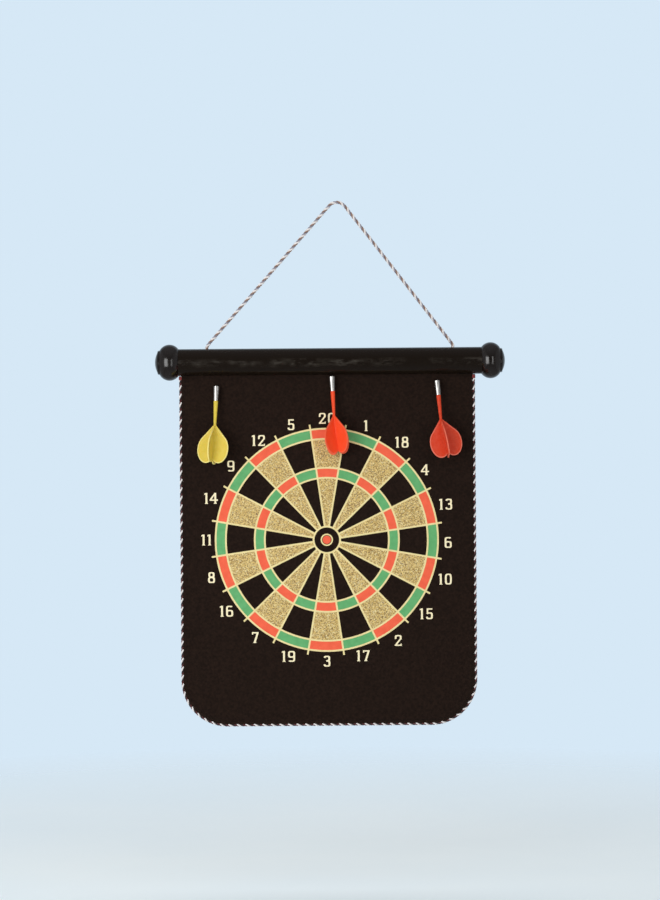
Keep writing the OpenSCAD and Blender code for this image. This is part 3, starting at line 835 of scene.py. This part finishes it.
def softened(name, node, material):
    """A merged copy of a moulded node with rounded edges, and the rims of its flights marked."""
    form = bmesh.new()
    form.from_mesh(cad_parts[node].data)
    bmesh.ops.remove_doubles(form, verts=form.verts, dist=mm / 1000)
    bmesh.ops.dissolve_limit(form, angle_limit=radians(1), verts=form.verts, edges=form.edges)
    form.normal_update()
    faces = sorted(form.faces, key=lambda face: face.calc_area(), reverse=True)
    first = faces[0].normal.copy()
    second = next(face.normal.copy() for face in faces if abs(face.normal.dot(first)) < 0.1)
    tail = first.cross(second)
    if tail.z > 0:
        tail.negate()
    tail_end = max(vert.co.dot(tail) for vert in form.verts)
    flights = [face for face in faces if face.calc_center_median().dot(tail) > tail_end - flight_l * 0.8]
    planes = []
    for normal in (first, second):
        levels = [f.calc_center_median().dot(normal) for f in flights if abs(f.normal.dot(normal)) > 0.999]
        planes.append((normal, (min(levels) + max(levels)) / 2))
    mark = form.verts.layers.float.new("rim")
    for vert in form.verts:
        near, far = sorted(abs(vert.co.dot(normal) - level) for normal, level in planes)
        on_flight = vert.co.dot(tail) > tail_end - flight_l
        if on_flight and near > (flight_web + flight_rim) / 4 and far > 2 * flight_rim:
            vert[mark] = 1
    mesh = bpy.data.meshes.new(name)
    form.to_mesh(mesh)
    form.free()
    mesh.shade_smooth()
    mesh.materials.clear()
    mesh.materials.append(material)
    piece = add(name, mesh)
    edges = piece.modifiers.new("rounded_edges", "BEVEL")
    edges.width = edge_round
    edges.segments = 2
    edges.limit_method = "ANGLE"
    edges.angle_limit = radians(35)
    edges.harden_normals = True
    return piece


yellow = dart_plastic("dart_yellow", dye(222, 196, 66), dye(248, 232, 148))
bright_red = dart_plastic("dart_bright_red", dye(247, 78, 36), dye(250, 108, 76))
deep_red = dart_plastic("dart_deep_red", dye(216, 62, 26), dye(240, 128, 104))
darts = (
    ("left", yellow, "dart_yellow"),
    ("middle", bright_red, "dart_red"),
    ("right", deep_red, "dart_red"),
)
for side, plastic, slot in darts:
    dress(magnet, f"{side}_dart_magnet")
    dress(chrome, f"{side}_dart_barrel")
    body = softened(f"{side}_dart_moulding", f"{side}_dart_body", plastic)
    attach(body, f"{side}_dart")
    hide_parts(f"{side}_dart_body")

# Stage: a plain pale floor under the hanging board, soft light all round and three softboxes.
# The tall one on the left is the key. It and the tall one on the right show as upright streaks
# on the caps and barrels, and the one above and behind gives light without a reflection.
floor_z = -0.74
floor_r = 1.5
floor_sides = 64
backdrop = dye(214, 232, 246)
room_light = (0.56, 0.56, 0.56, 1)
dim_front = (0.06, 0.06, 0.06, 1)
side_glow = (0.22, 0.22, 0.23, 1)
floor_paint, tree, shader = finish("pale_floor", Roughness=0.8)
paint = dyed(tree, mottle(tree, 3), dye(236, 248, 254), dye(241, 251, 255))
tree.links.new(paint, shader.inputs["Base Color"])
place = put(tree, "ShaderNodeTexCoord")["Object"]
reach = put(tree, "ShaderNodeVectorMath", {0: place}, operation="LENGTH")["Value"]
clear = put(tree, "ShaderNodeBsdfTransparent")[0]
edge = {0: spread(tree, reach, 0.8, floor_r), 1: shader.outputs[0], 2: clear}
tree.links.new(put(tree, "ShaderNodeMixShader", edge)[0], tree.nodes["Material Output"].inputs["Surface"])
floor_mesh = bpy.data.meshes.new("floor")
floor_turns = [tau * side / floor_sides for side in range(floor_sides)]
floor_rim = [(floor_r * cos(turn), floor_r * sin(turn), floor_z) for turn in floor_turns]
floor_mesh.from_pydata(floor_rim, [], [range(floor_sides)])
floor_mesh.materials.append(floor_paint)
floor = add("floor", floor_mesh)
floor.visible_glossy = False
floor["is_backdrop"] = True

world = bpy.data.worlds.new("studio")
world.use_nodes = True
bpy.context.scene.world = world
tree = world.node_tree
ray = put(tree, "ShaderNodeLightPath")
direction = put(tree, "ShaderNodeSeparateXYZ", {0: put(tree, "ShaderNodeTexCoord")["Generated"]})
aside = spread(tree, calc(tree, "ABSOLUTE", direction[0]), 0.5, 0.8)
aslant = spread(tree, calc(tree, "ABSOLUTE", direction[2]), 0.3, 1)
ahead = dyed(tree, calc(tree, "MAXIMUM", aside, aslant), dim_front, side_glow)
glossed = dyed(tree, spread(tree, direction[1], 0.5, 1.1), ahead, backdrop)
seen = calc(tree, "MAXIMUM", ray["Is Camera Ray"], ray["Is Transmission Ray"])
light = dyed(tree, ray["Is Glossy Ray"], room_light, glossed)
tree.links.new(dyed(tree, seen, light, backdrop), tree.nodes["Background"].inputs["Color"])


def softbox(name, place, aim, width, height, power, mirrored=True):
    lamp = bpy.data.lights.new(name, "AREA")
    lamp.shape = "RECTANGLE"
    lamp.size = width
    lamp.size_y = height
    lamp.energy = power
    piece = bpy.data.objects.new(name, lamp)
    piece.location = place
    piece.rotation_euler = (aim - Vector(place)).to_track_quat("-Z", "Y").to_euler()
    piece.visible_camera = False
    piece.visible_glossy = mirrored
    bpy.context.collection.objects.link(piece)


tube_middle = (tube_low + tube_high) / 2
softbox("key_softbox", (-0.75, -1.08, -0.2), tube_middle, 0.74, 1.05, 8)
softbox("fill_softbox", (0.5, -1.22, -0.2), tube_middle, 0.24, 1.05, 1.6)
softbox("top_softbox", (0, 0.7, 1.5), tube_middle, 2.4, 1.6, 14, mirrored=False)
bpy.context.scene.view_settings.view_transform = "Standard"

sizes = {"cad": [list(corner) for corner in cad_box], "visual": [list(corner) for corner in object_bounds()]}
